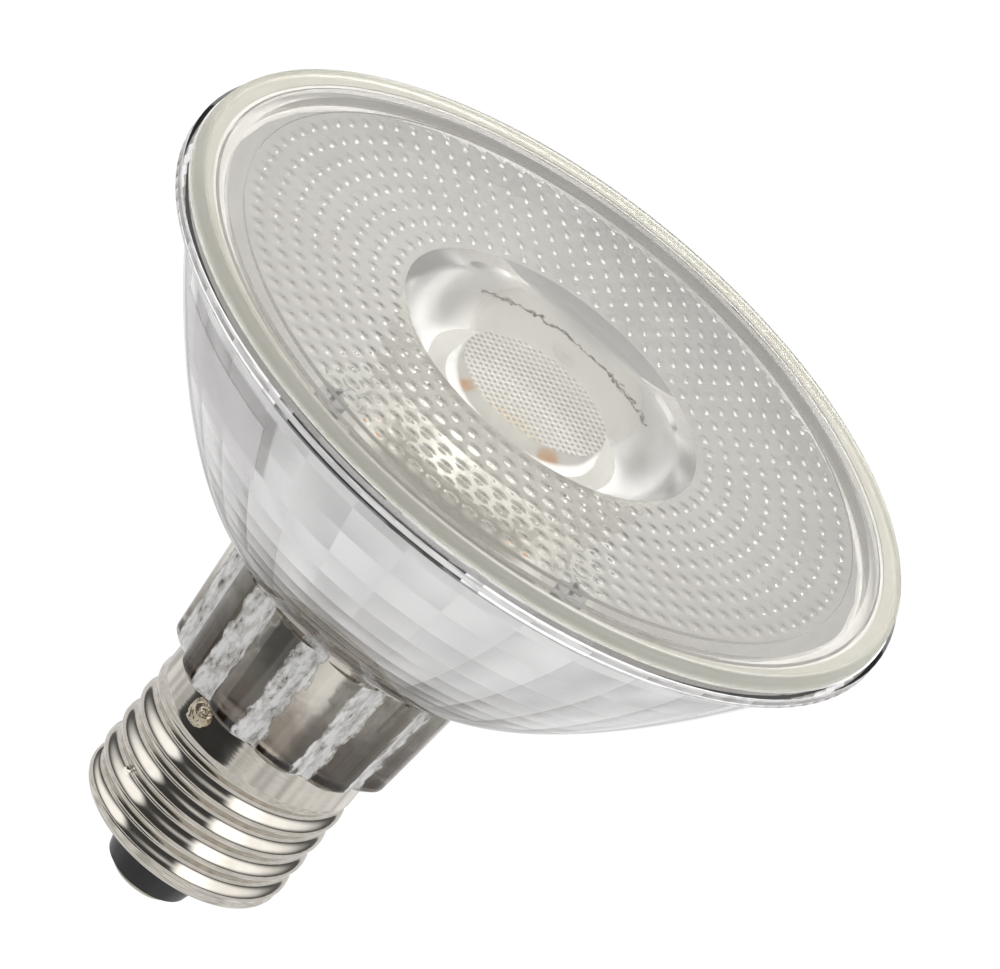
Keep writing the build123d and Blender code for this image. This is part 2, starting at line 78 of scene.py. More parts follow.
# The rings of tiny lenses sunk in the back of the plate
first_ring_radius = 21.0
ring_step = 2.52
ring_count = 8
first_ring_dots = 54
dots_more_per_ring = 6
dot_radius = 0.8
dot_depth = 0.075

# The studio, in metres and degrees
floor_z = -0.3
card_place = (-0.48, -0.533, floor_z + 0.001)
card_size = (0.76, 0.6)
card_azimuth = 228
dark_azimuth = 252
glow_azimuth = 305


# Scene

def place_camera():
    """The photograph's view: a long lens from above the front, rolled so that the lamp leans right."""
    picture = (1000, 969)
    lens_pixel = (555.61, 368.58)
    focal_pixels = 10690.0
    distance = 1.1669
    sensor = 36
    elevation = radians(25.889)
    roll = radians(39.215)
    back = Vector((0, -cos(elevation), sin(elevation)))
    upright = Vector((0, sin(elevation), cos(elevation)))
    side = Vector((1, 0, 0))
    right = side * cos(roll) + upright * sin(roll)
    up = upright * cos(roll) - side * sin(roll)
    turn = Matrix((right, up, back)).transposed()
    across = (lens_pixel[0] - picture[0] / 2) / focal_pixels
    above = (picture[1] / 2 - lens_pixel[1]) / focal_pixels
    turn = turn @ Vector((across, above, -1)).rotation_difference(Vector((0, 0, -1))).to_matrix()
    data = bpy.data.cameras.new("camera")
    data.sensor_width = sensor
    data.lens = sensor * focal_pixels / picture[0]
    camera = bpy.data.objects.new("camera", data)
    bpy.context.scene.collection.objects.link(camera)
    camera.matrix_world = Matrix.Translation(Vector((0, 0, front_z * mm)) + back * distance) @ turn.to_4x4()
    bpy.context.scene.camera = camera


def softbox(name, place, size, power, aim=(0, 0, 0.05)):
    """A soft lamp that faces the bulb."""
    data = bpy.data.lights.new(name, "AREA")
    data.shape = "RECTANGLE"
    data.size, data.size_y = size
    data.energy = power
    lamp = bpy.data.objects.new(name, data)
    bpy.context.scene.collection.objects.link(lamp)
    lamp.location = place
    lamp.rotation_euler = (Vector(aim) - Vector(place)).to_track_quat("-Z", "Y").to_euler()


# Materials

def linear(code):
    """A colour written as sRGB hex, in the linear values that shaders use."""
    parts = [int(code[i:i + 2], 16) / 255 for i in (1, 3, 5)]
    return tuple(p / 12.92 if p <= 0.04045 else ((p + 0.055) / 1.055) ** 2.4 for p in parts) + (1.0,)


def per(size):
    """The scale of a pattern whose features have that size in millimetres."""
    return 1 / (size * mm)


def add(tree, kind, inputs=None, **settings):
    """A node with its settings, and its inputs set to values or linked to sockets."""
    made = tree.nodes.new(kind)
    for name, value in settings.items():
        setattr(made, name, value)
    for key, value in (inputs or {}).items():
        if isinstance(value, bpy.types.NodeSocket):
            tree.links.new(value, made.inputs[key])
        else:
            made.inputs[key].default_value = value
    return made


def start(name):
    """A new material, its empty node tree and its Object coordinates."""
    made = bpy.data.materials.new(name)
    made.use_nodes = True
    tree = made.node_tree
    tree.nodes.clear()
    return made, tree, add(tree, "ShaderNodeTexCoord").outputs["Object"]


def finish(tree, shader):
    """Sends a shader to the material's surface."""
    add(tree, "ShaderNodeOutputMaterial", {"Surface": shader.outputs[0]})


def paint_caught_light_glow(tree, shader, strength):
    """Light still caught in a clear piece after many bounces is replaced by a painted soft glow, and not by
    black.
    """
    many_bounces = 6.5
    path = add(tree, "ShaderNodeLightPath")
    caught = add(
        tree, "ShaderNodeMath", {0: path.outputs["Ray Depth"], 1: many_bounces}, operation="GREATER_THAN"
    )
    # A painted glow: emission in place of the light that would find its way out
    glow = add(tree, "ShaderNodeEmission", {"Color": linear("#FBF7EC"), "Strength": strength})
    return add(
        tree, "ShaderNodeMixShader", {0: caught.outputs[0], 1: shader.outputs[0], 2: glow.outputs[0]}
    )


def plain(name, dark, light, grain, rough, metallic=0.0, bump=0.0, **sockets):
    """A plain moulded, coated or drawn finish: two close tones in grains, with roughness to match."""
    made, tree, place = start(name)
    noise = add(
        tree, "ShaderNodeTexNoise", {"Vector": place, "Scale": per(grain), "Detail": 5.0, "Roughness": 0.6}
    )
    colour = add(
        tree, "ShaderNodeMix",
        {0: noise.outputs["Fac"], 6: linear(dark), 7: linear(light)}, data_type="RGBA",
    )
    gloss = add(
        tree, "ShaderNodeMapRange",
        {"Value": noise.outputs["Fac"], "To Min": rough[0], "To Max": rough[1]},
    )
    relief = add(
        tree, "ShaderNodeBump",
        {"Height": noise.outputs["Fac"], "Strength": bump, "Distance": 0.05 * mm},
    )
    shader = add(
        tree, "ShaderNodeBsdfPrincipled",
        {
            "Base Color": colour.outputs[2],
            "Roughness": gloss.outputs[0],
            "Normal": relief.outputs[0],
            "Metallic": metallic,
            **sockets,
        },
    )
    finish(tree, shader)
    return made


def pressed_glass():
    """Soda-lime glass pressed in a mould: clear, with a fire-polished skin that waves a little."""
    made, tree, place = start("pressed_glass")
    wave = add(tree, "ShaderNodeTexNoise", {"Vector": place, "Scale": per(6.0), "Detail": 0.0})
    relief = add(
        tree, "ShaderNodeBump", {"Height": wave.outputs["Fac"], "Strength": 0.1, "Distance": 0.3 * mm}
    )
    tint = add(
        tree, "ShaderNodeMix",
        {0: wave.outputs["Fac"], 6: linear("#F6F6F4"), 7: linear("#FDFDFC")}, data_type="RGBA",
    )
    shader = add(
        tree, "ShaderNodeBsdfPrincipled",
        {
            "Base Color": tint.outputs[2],
            "Roughness": 0.03,
            "IOR": 1.52,
            "Transmission Weight": 1.0,
            "Normal": relief.outputs[0],
        },
    )
    # Light caught in the glass is given a painted glow
    finish(tree, paint_caught_light_glow(tree, shader, 0.5))
    return made


def silvering():
    """Aluminium film on the inside of the bowl: satin on its open side, a mirror seen through the glass."""
    made, tree, place = start("silvering")
    cloudiness = 0.12
    cloud = add(tree, "ShaderNodeTexNoise", {"Vector": place, "Scale": per(5.0), "Detail": 0.0})
    colour = add(
        tree, "ShaderNodeMix",
        {0: cloud.outputs["Fac"], 6: linear("#E9E8E9"), 7: linear("#FAF9FA")}, data_type="RGBA",
    )
    side = add(tree, "ShaderNodeNewGeometry").outputs["Backfacing"]
    # Seen through the glass, the film is smoothest at the rim
    mirror = add(
        tree, "ShaderNodeMapRange",
        {
            "Value": add(tree, "ShaderNodeSeparateXYZ", {0: place}).outputs["Z"],
            "From Min": (rim_bottom_z - 1.0) * mm,
            "From Max": rim_bottom_z * mm,
            "To Min": 0.1,
            "To Max": 0.0,
        },
    )
    satin = add(tree, "ShaderNodeMapRange", {"Value": side, "To Min": 0.54, "To Max": mirror.outputs[0]})
    gloss = add(
        tree, "ShaderNodeMath", {0: cloud.outputs["Fac"], 1: cloudiness, 2: satin.outputs[0]},
        operation="MULTIPLY_ADD",
    )
    shader = add(
        tree, "ShaderNodeBsdfPrincipled",
        {"Base Color": colour.outputs[2], "Metallic": 1.0, "Roughness": gloss.outputs[0]},
    )
    finish(tree, shader)
    return made


def neck_silvering():
    """The same film in the neck: bright above, brown and dull near the cap, with a ragged border."""
    made, tree, place = start("neck_silvering")
    raggedness = 6.0
    brown_end_z, bright_start_z = 35.1, 42.6
    height = add(tree, "ShaderNodeSeparateXYZ", {0: place}).outputs["Z"]
    cloud = add(
        tree, "ShaderNodeTexNoise", {"Vector": place, "Scale": per(1.3), "Detail": 4.0, "Roughness": 0.7}
    )
    edge = add(
        tree, "ShaderNodeMath", {0: cloud.outputs["Fac"], 1: raggedness * mm, 2: height},
        operation="MULTIPLY_ADD",
    )
    film = add(
        tree, "ShaderNodeMapRange",
        {"Value": edge.outputs[0], "From Min": brown_end_z * mm, "From Max": bright_start_z * mm},
        interpolation_type="SMOOTHSTEP",
    )
    colour = add(
        tree, "ShaderNodeMix",
        {0: film.outputs[0], 6: linear("#A99E93"), 7: linear("#E8E3DA")}, data_type="RGBA",
    )
    gloss = add(tree, "ShaderNodeMapRange", {"Value": film.outputs[0], "To Min": 0.26, "To Max": 0.12})
    shader = add(
        tree, "ShaderNodeBsdfPrincipled",
        {"Base Color": colour.outputs[2], "Metallic": 1.0, "Roughness": gloss.outputs[0]},
    )
    finish(tree, shader)
    return made


def ribbed_glass():
    """The same glass around the neck, with the reflection of crumpled film painted in white streaks along
    the grooves between its ribs.
    """
    made, tree, place = start("ribbed_glass")
    crease, crease_length = 1.0, 2.4
    groove_turn, raggedness = 0.7, 1.6
    axes = add(tree, "ShaderNodeSeparateXYZ", {0: place})
    angle = add(tree, "ShaderNodeMath", {0: axes.outputs["Y"], 1: axes.outputs["X"]}, operation="ARCTAN2")
    turns = add(
        tree, "ShaderNodeMath", {0: angle.outputs[0], 1: rib_count, 2: groove_turn},
        operation="MULTIPLY_ADD",
    )
    wave = add(tree, "ShaderNodeMath", {0: turns.outputs[0]}, operation="COSINE")
    stretch = add(
        tree, "ShaderNodeMapping",
        {"Vector": place, "Scale": (per(crease), per(crease), per(crease_length))},
    )
    crinkle = add(
        tree, "ShaderNodeTexNoise",
        {"Vector": stretch.outputs[0], "Scale": 1.0, "Detail": 5.0, "Roughness": 0.65},
    )
    ragged = add(
        tree, "ShaderNodeMath", {0: crinkle.outputs["Fac"], 1: raggedness, 2: wave.outputs[0]},
        operation="MULTIPLY_ADD",
    )
    painted_streak = add(
        tree, "ShaderNodeMapRange", {"Value": ragged.outputs[0], "From Min": 1.0, "From Max": 1.3},
        interpolation_type="SMOOTHSTEP",
    )
    # Across a streak the crumpled film is painted on: white highlight fading to grey shade, with dark
    # creases of painted shade
    painted_foil_shading = add(
        tree, "ShaderNodeMapRange", {"Value": crinkle.outputs["Fac"], "From Min": 0.36, "From Max": 0.56}
    )
    white = add(
        tree, "ShaderNodeMix",
        {0: painted_foil_shading.outputs[0], 6: linear("#B4B1AB"), 7: linear("#FFFFFF")}, data_type="RGBA",
    )
    painted_crease_shade = add(
        tree, "ShaderNodeMapRange", {"Value": crinkle.outputs["Fac"], "From Min": 0.33, "From Max": 0.38}
    )
    painted_foil_reflection = add(
        tree, "ShaderNodeMix",
        {0: painted_crease_shade.outputs[0], 6: linear("#5E5952"), 7: white.outputs[2]}, data_type="RGBA",
    )
    # Painted reflection in the streaks, and the glass's own faint tint elsewhere
    colour = add(
        tree, "ShaderNodeMix",
        {0: painted_streak.outputs[0], 6: linear("#F9F9F7"), 7: painted_foil_reflection.outputs[2]}, data_type="RGBA",
    )
    lift = add(
        tree, "ShaderNodeMath", {0: crinkle.outputs["Fac"], 1: painted_streak.outputs[0]}, operation="MULTIPLY"
    )
    relief = add(tree, "ShaderNodeBump", {"Height": lift.outputs[0], "Strength": 0.7, "Distance": 0.5 * mm})
    clear = add(tree, "ShaderNodeMapRange", {"Value": painted_streak.outputs[0], "To Min": 1.0, "To Max": 0.3})
    gloss = add(tree, "ShaderNodeMapRange", {"Value": painted_streak.outputs[0], "To Min": 0.03, "To Max": 0.25})
    shader = add(
        tree, "ShaderNodeBsdfPrincipled",
        {
            "Base Color": colour.outputs[2],
            "Roughness": gloss.outputs[0],
            "IOR": 1.52,
            "Transmission Weight": clear.outputs[0],
            "Normal": relief.outputs[0],
        },
    )
    # Light caught in the glass is given a painted glow
    finish(tree, paint_caught_light_glow(tree, shader, 0.4))
    return made


def clear_lens():
    """Clear moulded acrylic: polished on its faces, and matt and faintly green around its cut edge."""
    made, tree, place = start("clear_lens")
    haze = add(tree, "ShaderNodeTexNoise", {"Vector": place, "Scale": per(8.0), "Detail": 0.0})
    tint = add(
        tree, "ShaderNodeMix",
        {0: haze.outputs["Fac"], 6: linear("#F7F5EE"), 7: linear("#FCFBF7")}, data_type="RGBA",
    )
    flat = add(tree, "ShaderNodeVectorMath", {0: place, 1: (1, 1, 0)}, operation="MULTIPLY")
    radius = add(tree, "ShaderNodeVectorMath", {0: flat.outputs[0]}, operation="LENGTH")
    brim = add(
        tree, "ShaderNodeMapRange",
        {
            "Value": radius.outputs["Value"],
            "From Min": (lens_radius - 1.4) * mm,
            "From Max": (lens_radius - 0.2) * mm,
        },
    )
    colour = add(
        tree, "ShaderNodeMix",
        {0: brim.outputs[0], 6: tint.outputs[2], 7: linear("#F0F0E4")}, data_type="RGBA",
    )
    gloss = add(tree, "ShaderNodeMapRange", {"Value": brim.outputs[0], "To Min": 0.02, "To Max": 0.6})
    clear = add(
        tree, "ShaderNodeMapRange",
        {
            "Value": radius.outputs["Value"],
            "From Min": (lens_radius - 0.7) * mm,
            "From Max": (lens_radius - 0.1) * mm,
            "To Min": 1.0,
            "To Max": 0.75,
        },
    )
    shader = add(
        tree, "ShaderNodeBsdfPrincipled",
        {
            "Base Color": colour.outputs[2],
            "Roughness": gloss.outputs[0],
            "IOR": 1.49,
            "Transmission Weight": clear.outputs[0],
        },
    )
    # Light caught in the acrylic is given a painted glow
    finish(tree, paint_caught_light_glow(tree, shader, 0.3))
    return made


def collimator_acrylic():
    """The same acrylic in the collimator: a soft skin, tiny lenses on its roof, a jagged dark line behind.
    """
    made, tree, place = start("collimator_acrylic")
    roof_lens_pitch, roof_lens_height = 1.2, 0.02
    dark_line_z, dark_line_y, dark_line_width, dark_line_wander = roof_z + 2.6, 11.0, 0.2, 5.0
    axes = add(tree, "ShaderNodeSeparateXYZ", {0: place})
    waves = []
    for axis in ("X", "Y"):
        step = add(
            tree, "ShaderNodeMath", {0: axes.outputs[axis], 1: 2 * pi * per(roof_lens_pitch)},
            operation="MULTIPLY",
        )
        waves.append(add(tree, "ShaderNodeMath", {0: step.outputs[0]}, operation="COSINE").outputs[0])
    grid = add(tree, "ShaderNodeMath", {0: waves[0], 1: waves[1]}, operation="MULTIPLY")
    roof = add(
        tree, "ShaderNodeMath", {0: axes.outputs["Z"], 1: roof_z * mm, 2: 0.05 * mm}, operation="COMPARE"
    )
    dots = add(tree, "ShaderNodeMath", {0: grid.outputs[0], 1: roof.outputs[0]}, operation="MULTIPLY")
    relief = add(
        tree, "ShaderNodeBump",
        {"Height": dots.outputs[0], "Strength": 1.0, "Distance": roof_lens_height * mm},
    )
    # A jagged dark line across the far side of the cone
    jag = add(
        tree, "ShaderNodeTexNoise", {"Vector": place, "Scale": per(1.4), "Detail": 6.0, "Roughness": 0.75}
    )
    path = add(
        tree, "ShaderNodeMath", {0: jag.outputs["Fac"], 1: dark_line_wander * mm, 2: axes.outputs["Z"]},
        operation="MULTIPLY_ADD",
    )
    band = add(
        tree, "ShaderNodeMath", {0: path.outputs[0], 1: dark_line_z * mm, 2: dark_line_width * mm},
        operation="COMPARE",
    )
    far = add(tree, "ShaderNodeMath", {0: axes.outputs["Y"], 1: dark_line_y * mm}, operation="GREATER_THAN")
    dark_line = add(tree, "ShaderNodeMath", {0: band.outputs[0], 1: far.outputs[0]}, operation="MULTIPLY")
    clear = add(tree, "ShaderNodeMath", {0: 1.0, 1: dark_line.outputs[0]}, operation="SUBTRACT")
    colour = add(
        tree, "ShaderNodeMix",
        {0: dark_line.outputs[0], 6: linear("#FAF8F3"), 7: linear("#6A6256")}, data_type="RGBA",
    )
    gloss = add(tree, "ShaderNodeMapRange", {"Value": roof.outputs[0], "To Min": 0.22, "To Max": 0.2})
    shader = add(
        tree, "ShaderNodeBsdfPrincipled",
        {
            "Base Color": colour.outputs[2],
            "Roughness": gloss.outputs[0],
            "IOR": 1.49,
            "Transmission Weight": clear.outputs[0],
            "Normal": relief.outputs[0],
        },
    )
    finish(tree, shader)
    return made


def bright_nickel():
    """Nickel plate on rolled brass: a warm bright mirror with fine rolling marks and cloudy wear."""
    made, tree, place = start("bright_nickel")
    # Real rolling marks are finer; these are as coarse as they need to be to show
    mark_length, mark_width = 14.0, 0.5
    stretch = add(
        tree, "ShaderNodeMapping",
        {"Vector": place, "Scale": (per(mark_length), per(mark_length), per(mark_width))},
    )
    marks = add(tree, "ShaderNodeTexNoise", {"Vector": stretch.outputs[0], "Scale": 1.0, "Detail": 3.0})
    cloud = add(tree, "ShaderNodeTexNoise", {"Vector": place, "Scale": per(3.0), "Detail": 5.0})
    colour = add(
        tree, "ShaderNodeMix",
        {0: cloud.outputs["Fac"], 6: linear("#BFB7AB"), 7: linear("#E4E0D8")}, data_type="RGBA",
    )
    gloss = add(
        tree, "ShaderNodeMapRange",
        {"Value": cloud.outputs["Fac"], "To Min": 0.06, "To Max": 0.16},
    )
    relief = add(
        tree, "ShaderNodeBump", {"Height": marks.outputs["Fac"], "Strength": 0.12, "Distance": 0.05 * mm}
    )
    shader = add(
        tree, "ShaderNodeBsdfPrincipled",
        {
            "Base Color": colour.outputs[2],
            "Metallic": 1.0,
            "Roughness": gloss.outputs[0],
            "Normal": relief.outputs[0],
        },
    )
    finish(tree, shader)
    return made


def studio_floor():
    """A pale matt table: white to the eye, in uneven patches where it is mirrored, faintly shadowed."""
    made, tree, place = start("studio_floor")
    self_lit = 0.9
    path = add(tree, "ShaderNodeLightPath")
    seen = path.outputs["Is Camera Ray"]
    for name in ("Is Glossy Ray", "Is Transmission Ray"):
        seen = add(tree, "ShaderNodeMath", {0: seen, 1: path.outputs[name]}, operation="MAXIMUM").outputs[0]
    share = add(tree, "ShaderNodeMath", {0: seen, 1: self_lit}, operation="MULTIPLY")
    table = add(tree, "ShaderNodeBsdfDiffuse", {"Color": linear("#F2F2F2")})
    patches = add(tree, "ShaderNodeTexNoise", {"Vector": place, "Scale": per(110.0), "Detail": 0.0})
    mirrored = add(
        tree, "ShaderNodeMapRange",
        {
            "Value": patches.outputs["Fac"],
            "From Min": 0.36,
            "From Max": 0.64,
            "To Min": 0.5,
            "To Max": 0.95,
        },
    )
    level = add(
        tree, "ShaderNodeMath", {0: mirrored.outputs[0], 1: path.outputs["Is Camera Ray"]},
        operation="MAXIMUM",
    )
    white = add(tree, "ShaderNodeEmission", {"Color": linear("#FFFFFF"), "Strength": level.outputs[0]})
    shader = add(
        tree, "ShaderNodeMixShader", {0: share.outputs[0], 1: table.outputs[0], 2: white.outputs[0]}
    )
    finish(tree, shader)
    return made


# Light

def studio_sky():
    """A sky white to the eye; in mirrors it is pale overhead, and dark low down and behind the camera."""
    horizon_level, overhead_level, dark_level = 0.12, 1.44, 0.06
    glow_rise = 0.6
    world = bpy.data.worlds.new("studio")
    world.use_nodes = True
    tree = world.node_tree
    tree.nodes.clear()
    path = add(tree, "ShaderNodeLightPath")
    aim = add(tree, "ShaderNodeTexCoord").outputs["Generated"]
    rise = add(tree, "ShaderNodeSeparateXYZ", {0: aim}).outputs["Z"]
    height = add(
        tree, "ShaderNodeMapRange",
        {
            "Value": rise,
            "From Min": 0.05,
            "From Max": 0.5,
            "To Min": horizon_level,
            "To Max": overhead_level,
        },
        interpolation_type="SMOOTHSTEP",
    )
    shares = []
    for azimuth in (dark_azimuth, dark_azimuth + 90):
        axis = (cos(radians(azimuth)), sin(radians(azimuth)), 0)
        share = add(tree, "ShaderNodeVectorMath", {0: aim, 1: axis}, operation="DOT_PRODUCT")
        shares.append(share.outputs["Value"])
    turn = add(tree, "ShaderNodeMath", {0: shares[1], 1: shares[0]}, operation="ARCTAN2")
    aside = add(tree, "ShaderNodeMath", {0: turn.outputs[0]}, operation="ABSOLUTE")
    wide = add(
        tree, "ShaderNodeMapRange",
        {"Value": aside.outputs[0], "From Min": radians(44), "From Max": radians(30)},
        interpolation_type="SMOOTHSTEP",
    )
    low = add(
        tree, "ShaderNodeMapRange", {"Value": rise, "From Min": 0.78, "From Max": 0.66},
        interpolation_type="SMOOTHSTEP",
    )
    dark = add(tree, "ShaderNodeMath", {0: wide.outputs[0], 1: low.outputs[0]}, operation="MULTIPLY")
    glow_aim = Vector((cos(radians(glow_azimuth)), sin(radians(glow_azimuth)), glow_rise)).normalized()
    toward = add(tree, "ShaderNodeVectorMath", {0: aim, 1: glow_aim}, operation="DOT_PRODUCT")
    glow = add(
        tree, "ShaderNodeMapRange",
        {"Value": toward.outputs["Value"], "From Min": 0.9, "From Max": 0.99, "To Max": 0.5},
        interpolation_type="SMOOTHSTEP",
    )
    bright = add(tree, "ShaderNodeMath", {0: height.outputs[0], 1: glow.outputs[0]}, operation="ADD")
    around = add(
        tree, "ShaderNodeMix",
        {0: dark.outputs[0], 2: bright.outputs[0], 3: dark_level}, data_type="FLOAT",
    )
    level = add(
        tree, "ShaderNodeMath", {0: around.outputs[0], 1: path.outputs["Is Camera Ray"]},
        operation="MAXIMUM",
    )
    sky = add(tree, "ShaderNodeBackground", {"Color": linear("#FFFFFF"), "Strength": level.outputs[0]})
    add(tree, "ShaderNodeOutputWorld", {"Surface": sky.outputs[0]})
    return world


def light_the_scene():
    """One soft lamp, the sky, a white floor, and a dark card on it that the plated parts mirror."""
    scene = bpy.context.scene
    scene.view_settings.view_transform = "Standard"
    scene.cycles.glossy_bounces = 8
    scene.cycles.transmission_bounces = 8
    scene.cycles.max_bounces = 9
    scene.world = studio_sky()
    softbox("key_softbox", place=(0.12, 0.75, 0.8), size=(0.16, 0.16), power=3.0)

    bpy.ops.object.select_all(action="DESELECT")
    bpy.ops.mesh.primitive_plane_add(size=12, location=(0, 0, floor_z))
    floor = bpy.context.object
    floor.name = "floor"
    floor.data.materials.append(studio_floor())

    bpy.ops.object.select_all(action="DESELECT")
    bpy.ops.mesh.primitive_plane_add(size=1, location=card_place)
    card = bpy.context.object
    card.name = "dark_card"
    card.scale = (*card_size, 1)
    card.rotation_euler = (0, 0, radians(card_azimuth - 90))
    # Matt black paper, seen only as a dark patch in mirrors and in glass
    card.data.materials.append(plain("black_card", "#0B0B0B", "#141414", 4.0, (0.6, 0.8)))
    card.visible_camera = card.visible_diffuse = card.visible_shadow = False


# Pieces

def turned(name, outline, steps):
    """A turned piece: its outline (radius, height) drawn point by point and spun round the lamp's axis."""
    bpy.ops.object.select_all(action="DESELECT")
    bpy.ops.mesh.primitive_plane_add(size=mm)
    piece = bpy.context.object
    piece.name = name
    bpy.ops.object.mode_set(mode="EDIT")
    bpy.ops.mesh.select_all(action="SELECT")
    bpy.ops.mesh.merge(type="CENTER")
    bpy.ops.transform.translate(value=(outline[0][0] * mm, 0, outline[0][1] * mm))
    for (r0, z0), (r1, z1) in zip(outline, outline[1:]):
        move = {"value": ((r1 - r0) * mm, 0, (z1 - z0) * mm)}
        bpy.ops.mesh.extrude_region_move(TRANSFORM_OT_translate=move)
    bpy.ops.mesh.select_all(action="SELECT")
    bpy.ops.mesh.spin(steps=steps, angle=2 * pi, center=(0, 0, 0), axis=(0, 0, 1))
    bpy.ops.mesh.select_all(action="SELECT")
    bpy.ops.mesh.remove_doubles(threshold=0.002 * mm)
    bpy.ops.mesh.normals_make_consistent(inside=False)
    bpy.ops.object.mode_set(mode="OBJECT")
    return piece


def stretch_of(start_point, end_point, count):
    """Evenly spaced points on a straight stretch of an outline, without its start."""
    (r0, z0), (r1, z1) = start_point, end_point
    return [(r0 + (r1 - r0) * i / count, z0 + (z1 - z0) * i / count) for i in range(1, count + 1)]


def round_of(centre, radii, first, last, count):
    """Points on a round stretch of an outline, between two angles in degrees."""
    angles = [radians(first + (last - first) * i / count) for i in range(count + 1)]
    return [(centre[0] + radii[0] * cos(a), centre[1] + radii[1] * sin(a)) for a in angles]


def on_bowl(outline, t):
    """A point (radius, height) on an outline of the bowl, from the mouth (0) to the foot (1)."""
    weights = ((1 - t) ** 3, 3 * (1 - t) ** 2 * t, 3 * (1 - t) * t**2, t**3)
    return [sum(w * p[axis] for w, p in zip(weights, outline)) for axis in (0, 1)]


def dimple(radius, angle):
    """How deep a tiny lens is sunk in the back of the plate at a place, in millimetres."""
    ring = round((radius - first_ring_radius) / ring_step)
    if not 0 <= ring < ring_count:
        return 0.0
    count = first_ring_dots + dots_more_per_ring * ring
    middle = first_ring_radius + ring_step * ring
    cell = angle * count / (2 * pi)
    across = (cell - round(cell)) * 2 * pi * middle / count
    away = hypot(radius - middle, across) / dot_radius
    return dot_depth * (1 - away * away) if away < 1 else 0.0


def make_front_lens():
    """The moulded lens: flat front, rings of tiny lenses on the back of the plate, and the collimator."""
    edge_round, step_width, cone_swell = 0.8, 0.1, 2.4
    plate_steps, cone_steps = 66, 8
    flat_radius = lens_radius - edge_round
    outline = [(0, front_z), (flat_radius, front_z)]
    edge_centre = (flat_radius, front_z - edge_round)
    outline += round_of(edge_centre, (edge_round, edge_round), first=90, last=0, count=6)[1:]
    outline += [(lens_radius, glue_top_z), (lip_outer_radius, glue_top_z)]
    outline += [(lip_outer_radius, lip_bottom_z), (lip_inner_radius, lip_bottom_z)]
    outline += [(lip_inner_radius, flange_back_z), (plate_radius + step_width, flange_back_z)]
    outline += [(plate_radius, plate_back_z)]
    outline += stretch_of((plate_radius, plate_back_z), (collar_radius, plate_back_z), plate_steps)
    outline += [(collar_edge_radius, collar_edge_z)]
    cone_in, cone_down = cone_end_radius - collar_edge_radius, cone_end_z - collar_edge_z
    outline += [
        (collar_edge_radius + cone_in * t + cone_swell * t * (1 - t), collar_edge_z + cone_down * t)
        for t in (i / cone_steps for i in range(1, cone_steps + 1))
    ]
    outline += [(cavity_mouth_radius, cone_end_z), (roof_radius, roof_z), (0, roof_z)]
    lens = turned("moulded_lens", outline, steps=576)
    for v in lens.data.vertices:
        radius = hypot(v.co.x, v.co.y) / mm
        if abs(v.co.z / mm - plate_back_z) < 0.01:
            v.co.z += dimple(radius, atan2(v.co.y, v.co.x)) * mm
    bpy.ops.object.shade_smooth_by_angle(angle=radians(28))
    lens.data.materials.append(clear_lens())
    lens.data.materials.append(collimator_acrylic())
    for face in lens.data.polygons:
        if face.center.z < collar_edge_z * mm:
            face.material_index = 1
    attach(lens, "root")
    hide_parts("front_lens")


def make_glass():
    """The glass body with its silvered inside: the CAD form, but a rounder bowl outside and flat facets."""
    curve_steps = 600
    mouth_radius = bowl_outside[0][0] + 0.1
    leaning = 1e-4
    glass = bpy.data.objects.new("silvered_reflector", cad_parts["glass_reflector"].data.copy())
    bpy.context.scene.collection.objects.link(glass)
    bpy.ops.object.select_all(action="DESELECT")
    glass.select_set(True)
    bpy.context.view_layer.objects.active = glass
    bpy.ops.mesh.customdata_custom_splitnormals_clear()
    bpy.ops.object.mode_set(mode="EDIT")
    bpy.ops.mesh.select_all(action="SELECT")
    bpy.ops.mesh.remove_doubles(threshold=0.001 * mm)
    bpy.ops.mesh.select_mode(type="FACE")
    bpy.ops.mesh.select_all(action="DESELECT")
    bpy.ops.object.mode_set(mode="OBJECT")
    # The bowl's outside is divided and laid on its curve
    for face in glass.data.polygons:
        place, normal = face.center / mm, face.normal
        outward = normal.x * place.x + normal.y * place.y > 0 and normal.z < -0.01
        face.select = outward and place.z > neck_top_z and hypot(place.x, place.y) < mouth_radius
    bpy.ops.object.mode_set(mode="EDIT")
    bpy.ops.mesh.subdivide(number_cuts=2)
    bpy.ops.mesh.select_mode(type="VERT")
    bpy.ops.object.mode_set(mode="OBJECT")
    curve = [on_bowl(bowl_outside, i / curve_steps) for i in range(curve_steps + 1)]
    for v in glass.data.vertices:
        if not v.select:
            continue
        radius, height = hypot(v.co.x, v.co.y), v.co.z
        near = min(curve, key=lambda c: (c[0] * mm - radius) ** 2 + (c[1] * mm - height) ** 2)
        v.co.x *= near[0] * mm / radius
        v.co.y *= near[0] * mm / radius
        v.co.z = near[1] * mm
    bpy.ops.object.shade_smooth_by_angle(angle=radians(24))
    glass.data.materials.clear()
    for made in (pressed_glass(), silvering(), neck_silvering(), ribbed_glass()):
        glass.data.materials.append(made)
    for face in glass.data.polygons:
        place, normal = face.center / mm, face.normal
        out = normal.x * place.x + normal.y * place.y
        if place.z > ledge_z and (out < -leaning or normal.z > 0.9):
            face.material_index = 1
            face.use_smooth = False
        elif out < -leaning and place.z > collar_bottom_z:
            face.material_index = 2
        elif out > leaning and shell_top_z < place.z < neck_top_z:
            face.material_index = 3
    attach(glass, "root")
    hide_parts("glass_reflector")


